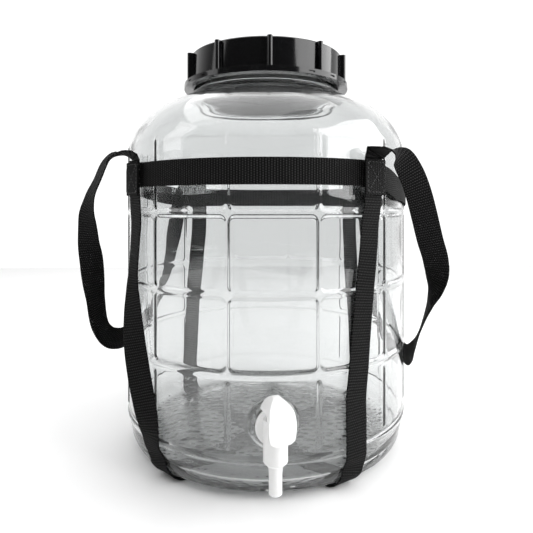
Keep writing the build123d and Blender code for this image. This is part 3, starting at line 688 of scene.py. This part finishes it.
right_down = wall_strap([
    (FRONT_RIGHT, WEB_R2, FRONT_STRAP_TOP_Z), (35.4, WEB_R2, 232.0),
    (35.3, WEB_R2 - 0.3, 222.0), (35.1, WEB_R0 + 0.5, 205.0), (34.4, WEB_R0, 182.0),
    (32.6, WEB_R0, 151.0), (31.0, WEB_R0, 120.0), (29.9, WEB_R0, 93.5), (28.7, WEB_R0, 66.0),
    (28.9, WEB_R0, 46.0), (28.9, WEB_R0, 28.0),
]) + heel(28.8, FLOOR_FRONT_RIGHT, FLOOR_REAR_LEFT)
rear_left_up = wall_strap([
    (REAR_LEFT, WEB_R1, REAR_STRAP_TOP_Z), (-144.8, WEB_R1, 216.0),
    (-144.6, WEB_R1 - 0.8, 206.0), (-144.2, WEB_R0, 192.0), (-143.0, WEB_R0, 165.0),
    (-142.0, WEB_R0, 140.0), (-140.6, WEB_R0, 110.0), (-139.8, WEB_R0, 80.0),
    (-139.0, WEB_R0, 50.0), (-138.4, WEB_R0, 28.0),
]) + heel(-137.6, FLOOR_REAR_LEFT, FLOOR_FRONT_RIGHT)
rear_right_up = wall_strap([
    (REAR_RIGHT, WEB_R1, REAR_STRAP_TOP_Z), (129.3, WEB_R1, 216.0),
    (129.2, WEB_R1 - 0.8, 206.0), (129.0, WEB_R0, 192.0), (128.2, WEB_R0, 165.0),
    (127.3, WEB_R0, 140.0), (126.3, WEB_R0, 110.0), (125.2, WEB_R0, 80.0),
    (124.3, WEB_R0, 50.0), (123.8, WEB_R0, 28.0),
]) + heel(123.2, FLOOR_REAR_RIGHT, FLOOR_FRONT_LEFT)

# The front left strap stands off the glass and faces forwards between the band and the heel
left_down = table([
    (-55.5, 5.1, 241.5, 0.57, -0.82, 0.00),
    (-55.5, 5.1, 231.0, 0.57, -0.82, 0.00),
    (-55.5, 4.5, 220.0, 0.57, -0.82, 0.00),
    (-56.4, 2.9, 205.0, 0.56, -0.83, 0.00),
    (-57.5, 2.7, 188.0, 0.53, -0.85, 0.00),
    (-58.4, 3.2, 168.0, 0.52, -0.85, 0.00),
    (-58.1, 4.7, 148.0, 0.64, -0.77, 0.00),
    (-55.6, 6.7, 128.0, 0.82, -0.57, 0.00),
    (-53.2, 7.5, 106.0, 0.94, -0.34, 0.00),
    (-50.1, 7.3, 82.0, 0.97, -0.25, 0.02),
    (-47.1, 6.1, 58.0, 0.95, -0.30, 0.08),
    (-45.3, 4.5, 38.0, 0.80, -0.59, 0.06),
    (-45.6, 2.5, 29.0, 0.72, -0.69, 0.00),
]) + heel(-44.6, FLOOR_FRONT_LEFT, FLOOR_REAR_RIGHT)


left_handle_path = handle(
    (FRONT_LEFT, WEB_R2, FRONT_HANDLE_Z, FRONT_TAB_HIGH),
    (REAR_LEFT, WEB_R1, REAR_HANDLE_Z, REAR_TAB_HIGH), 1, [
    (-58.4, 11.9, 258.9, 0.57, -0.82, 0.00),
    (-61.5, 17.6, 257.8, 0.56, -0.83, 0.00),
    (-64.9, 23.0, 252.0, 0.55, -0.84, 0.00),
    (-67.5, 28.3, 238.7, 0.53, -0.85, 0.00),
    (-70.3, 34.0, 221.7, 0.64, -0.77, 0.00),
    (-72.4, 35.8, 204.4, 0.88, -0.47, 0.00),
    (-73.7, 34.7, 186.7, 0.98, -0.19, 0.00),
    (-74.6, 32.3, 168.8, 0.96, 0.29, 0.00),
    (-75.1, 30.6, 150.8, 0.81, 0.59, 0.00),
    (-76.0, 28.6, 132.5, 0.56, 0.83, 0.05),
    (-77.7, 26.8, 115.2, 0.49, 0.80, 0.35),
    (-80.8, 22.7, 100.3, 0.22, 0.49, 0.84),
    (-85.0, 16.2, 91.5, 0.06, 0.15, 0.99),
    (-90.9, 9.8, 88.5, 0.00, 0.00, 1.00),
    (-102.4, 9.1, 92.0, 0.00, -0.10, 1.00),
    (-114.2, 10.3, 104.0, -0.02, -0.45, 0.89),
    (-124.4, 13.7, 127.0, -0.14, -0.85, 0.50),
    (-131.8, 19.9, 158.0, -0.44, -0.89, 0.15),
    (-136.2, 26.3, 190.0, -0.78, -0.63, 0.00),
    (-139.2, 28.1, 218.0, -0.85, -0.53, 0.00),
    (-141.2, 24.7, 237.0, -0.83, -0.56, 0.00),
    (-143.1, 18.8, 244.5, -0.82, -0.58, 0.00),
    (-144.6, 10.9, 246.0, -0.82, -0.58, 0.00),
])
right_handle_path = handle(
    (FRONT_RIGHT, WEB_R2, FRONT_HANDLE_Z, FRONT_TAB_HIGH),
    (REAR_RIGHT, WEB_R1, REAR_HANDLE_Z, REAR_TAB_HIGH), -1, [
    (35.8, 6.3, 257.6, -0.83, -0.42, 0.36),
    (35.8, 12.0, 259.1, -0.44, -0.87, 0.20),
    (36.4, 17.2, 259.2, -0.16, -0.99, -0.00),
    (37.5, 21.5, 257.5, -0.44, -0.87, -0.22),
    (39.1, 24.4, 252.9, -0.86, -0.30, -0.42),
    (40.8, 26.6, 245.6, -0.95, -0.08, -0.30),
    (42.8, 28.4, 236.4, -0.99, -0.03, -0.08),
    (44.9, 29.6, 224.9, -0.98, 0.09, -0.12),
    (47.6, 30.4, 209.5, -0.97, 0.19, -0.12),
    (50.9, 31.7, 189.6, -0.93, 0.32, -0.12),
    (54.0, 33.4, 173.2, -0.88, 0.47, -0.10),
    (56.2, 32.8, 160.3, -0.66, 0.75, 0.00),
    (58.0, 30.0, 148.8, -0.26, 0.95, 0.12),
    (59.8, 25.8, 137.6, 0.14, 0.94, 0.30),
    (62.3, 21.3, 125.0, 0.37, 0.80, 0.47),
    (65.6, 16.4, 110.7, 0.45, 0.60, 0.66),
    (70.6, 12.1, 94.9, 0.37, 0.34, 0.86),
    (77.3, 8.6, 80.5, 0.15, 0.12, 0.98),
    (86.0, 6.8, 72.0, 0.02, 0.03, 1.00),
    (95.1, 7.0, 72.0, 0.00, 0.00, 1.00),
    (106.2, 10.4, 79.5, -0.01, -0.30, 0.95),
    (114.9, 15.4, 98.5, 0.02, -0.71, 0.71),
    (120.9, 20.9, 127.0, 0.16, -0.96, 0.25),
    (124.6, 26.0, 160.0, 0.41, -0.91, 0.00),
    (126.9, 28.5, 194.0, 0.56, -0.83, 0.00),
    (128.2, 27.1, 221.0, 0.63, -0.78, 0.00),
    (129.0, 20.7, 239.0, 0.63, -0.77, 0.00),
    (129.3, 12.1, 245.6, 0.63, -0.77, 0.00),
])


def arc_rows(start, end, rows, steps):
    """Angle, radius and height at even steps, smoothed between the given rows."""
    out = []
    for i in range(steps + 1):
        a = start + (end - start) * i / steps
        for (a0, r0, z0), (a1, r1, z1) in zip(rows, rows[1:]):
            if a0 <= a <= a1:
                t = float(step_up((a - a0) / (a1 - a0)))
                out.append((a, r0 + (r1 - r0) * t, z0 + (z1 - z0) * t))
                break
    return out


def bands(look):
    start = FRONT_LEFT - TAB_HALF_ANGLE
    end = FRONT_RIGHT + TAB_HALF_ANGLE
    rows = [(start, WEB_R0, FRONT_BAND_Z), (end, WEB_R0, FRONT_BAND_Z)]
    webbing("band_front", band(arc_rows(start, end, rows, 16)), look, ["front_band"])
    start = FRONT_RIGHT - TAB_HALF_ANGLE
    end = FRONT_LEFT + TAB_HALF_ANGLE + 360
    lap = 2 * TAB_HALF_ANGLE + 1.5
    rows = [
        (start, WEB_R1, FRONT_BAND_Z - 1.0),
        (start + lap, WEB_R1, FRONT_BAND_Z - 3.5),
        (start + lap + 14, WEB_R0, FRONT_BAND_Z - 11.0),
        (86, WEB_R0, REAR_BAND_Z - 1.5),
        (110, WEB_R0, REAR_BAND_Z),
        (220, WEB_R0, REAR_BAND_Z),
        (end - lap - 14, WEB_R0, FRONT_BAND_Z - 3.0),
        (end - lap, WEB_R1, FRONT_BAND_Z),
        (end, WEB_R1, FRONT_BAND_Z),
    ]
    webbing("band_rear", band(arc_rows(start, end, rows, 48)), look, ["rear_band"])


def straps(look):
    right = base_strap(right_down, base_curve(FLOOR_FRONT_RIGHT, FLOOR_REAR_LEFT, False),
                       rear_left_up)
    left = base_strap(left_down, base_curve(FLOOR_FRONT_LEFT, FLOOR_REAR_RIGHT, True),
                      rear_right_up)
    webbing("strap_from_front_right", right, look, ["strap_front_right"])
    webbing("strap_from_front_left", left, look, ["strap_front_left"])
    webbing("handle_left", left_handle_path, look, ["left_handle"])
    webbing("handle_right", right_handle_path, look, ["right_handle"])


def stitches(name, angle, radius, low, high, thread):
    """Rows of thread on a patch: a box and the cross in it."""
    half = math.radians(TAB_HALF_ANGLE) * radius - 1.8
    bottom = low + 2.2
    top = high - 2.2
    corners = [(-half, bottom), (half, bottom), (half, top), (-half, top)]
    lines = [(corners[i], corners[(i + 1) % 4]) for i in range(4)]
    lines += [(corners[0], corners[2]), (corners[1], corners[3])]
    vertices = []
    faces = []
    shape = section(STITCH_THICK, STITCH_THICK)[::2]
    for (x0, z0), (x1, z1) in lines:
        length = math.dist((x0, z0), (x1, z1))
        count = int(length / (STITCH_LENGTH + STITCH_GAP))
        way = np.array(((x1 - x0) / length, (z1 - z0) / length))
        for i in range(count):
            middle = (i + 0.5) * length / count
            first = len(vertices)
            for share, sink in ((-0.5, 0.35), (-0.3, 0.0), (0.3, 0.0), (0.5, 0.35)):
                x, z = np.array((x0, z0)) + way * (middle + share * STITCH_LENGTH)
                turn = angle + math.degrees(x / radius)
                centre = polar(turn, radius + WEB_THICK / 2 + 0.12 - sink, z)
                side = around(turn) * -way[1] + np.array((0, 0, way[0]))
                out = polar(turn, 1.0, 0)
                for across, up in shape:
                    vertices.append(tuple((centre + side * across + out * up) * MM))
            size = len(shape)
            for k in range(3):
                for j in range(size):
                    n = (j + 1) % size
                    faces.append((first + k * size + j, first + k * size + n,
                                  first + (k + 1) * size + n, first + (k + 1) * size + j))
            faces.append(tuple(first + j for j in reversed(range(size))))
            faces.append(tuple(first + 3 * size + j for j in range(size)))
    made = new_object(name, vertices, faces, thread)
    dress(made, "jar", "black_webbing")


def tabs(look, thread):
    places = (("front_left", FRONT_LEFT, FRONT_TAB_RADIUS, FRONT_TAB_LOW, FRONT_TAB_HIGH),
              ("front_right", FRONT_RIGHT, FRONT_TAB_RADIUS, FRONT_TAB_LOW, FRONT_TAB_HIGH),
              ("rear_left", REAR_LEFT, REAR_TAB_RADIUS, REAR_TAB_LOW, REAR_TAB_HIGH),
              ("rear_right", REAR_RIGHT, REAR_TAB_RADIUS, REAR_TAB_LOW, REAR_TAB_HIGH))
    for name, angle, radius, low, high in places:
        rows = [(polar(angle + TAB_HALF_ANGLE * k / 2, radius, (low + high) / 2), (0, 0, 1))
                for k in (-2, -1, 0, 1, 2)]
        webbing("patch_" + name, rows, look, ["tab_" + name], width=high - low)
        stitches("stitching_" + name, angle, radius, low, high, thread)


# Surroundings
def softbox(name, place, target, wide, tall, power):
    lamp = bpy.data.lights.new(name, "AREA")
    lamp.shape = "RECTANGLE"
    lamp.size = wide
    lamp.size_y = tall
    lamp.energy = power
    made = bpy.data.objects.new(name, lamp)
    made.location = place
    made.rotation_euler = (Vector(target) - Vector(place)).to_track_quat("-Z", "Y").to_euler()
    bpy.context.scene.collection.objects.link(made)
    return made


def surroundings():
    half = FLOOR_HALF
    ground = new_object("floor", [(-half, -half, 0), (half, -half, 0), (half, half, 0),
                                  (-half, half, 0)], [(0, 1, 2, 3)], floor_material(),
                        smooth=False)
    world = bpy.data.worlds.new("studio")
    bpy.context.scene.world = world
    world.use_nodes = True
    tree = world.node_tree
    tree.nodes.clear()
    path = node(tree, "ShaderNodeLightPath")
    # Bright behind the jar and overhead, darker at the sides and behind the camera
    way = node(tree, "ShaderNodeTexCoord").outputs["Generated"]
    split = node(tree, "ShaderNodeSeparateXYZ")
    tree.links.new(way, split.inputs[0])
    behind = node(tree, "ShaderNodeMapRange", {"From Min": -0.2, "From Max": 0.85,
                                               "To Min": 0.06, "To Max": 1.2},
                  interpolation_type="SMOOTHSTEP")
    tree.links.new(split.outputs["Y"], behind.inputs["Value"])
    over = node(tree, "ShaderNodeMapRange", {"From Min": 0.45, "From Max": 0.9,
                                             "To Min": 0.0, "To Max": 0.8},
                interpolation_type="SMOOTHSTEP")
    tree.links.new(split.outputs["Z"], over.inputs["Value"])
    room = maths(tree, "MAXIMUM", behind.outputs[0], over.outputs[0])
    seen = maths(tree, "MAXIMUM", room, path.outputs["Is Camera Ray"])
    light = node(tree, "ShaderNodeBackground", {"Strength": 1.0})
    tree.links.new(seen, light.inputs["Color"])
    out = node(tree, "ShaderNodeOutputWorld")
    tree.links.new(light.outputs[0], out.inputs[0])
    centre = (0, 0, 0.18)
    softbox("key", (1.25, -0.35, 0.75), centre, 1.7, 1.1, 28)
    softbox("fill", (-1.4, -0.3, 0.9), centre, 0.5, 1.0, 3)
    softbox("top", (-0.2, 0.1, 1.7), centre, 1.8, 1.8, 17)


def camera():
    data = bpy.data.cameras.new("camera")
    data.lens = LENS
    data.sensor_width = 36
    data.shift_x = SHIFT_X
    data.shift_y = SHIFT_Y
    data.clip_start = 0.01
    made = bpy.data.objects.new("camera", data)
    turn = math.radians(CAMERA_TURN)
    made.location = (CAMERA_DISTANCE * math.sin(turn), -CAMERA_DISTANCE * math.cos(turn),
                     CAMERA_HEIGHT)
    made.rotation_euler = (math.pi / 2, 0, turn)
    bpy.context.scene.collection.objects.link(made)
    bpy.context.scene.camera = made
    bpy.context.scene.view_settings.view_transform = "Standard"


plastic = white_plastic()
rubber = gasket_rubber()
# The last two values are the weave's painted highlight on the floats and its painted shade in the
# grooves
weave = webbing_material("black_webbing", 0.034, 0.0003)
patch_weave = webbing_material("patch_webbing", 0.030, 0.002)
jar()
moulded("lid", "lid", "black_plastic", black_plastic(), 0.35)
moulded("lid_liner", "liner", "liner_foam", liner_foam(), 0.2)
moulded("tap_body", "jar", "white_plastic", plastic, 0.35)
moulded("tap_plug", "tap_plug", "white_plastic", plastic, 0.5)
moulded("tap_outer_gasket", "jar", "gasket_rubber", rubber, 0.3)
moulded("tap_inner_gasket", "jar", "gasket_rubber", rubber, 0.3)
moulded("tap_nut", "jar", "white_plastic", plastic, 0.4)
bands(weave)
straps(weave)
tabs(patch_weave, thread_material())
surroundings()
camera()
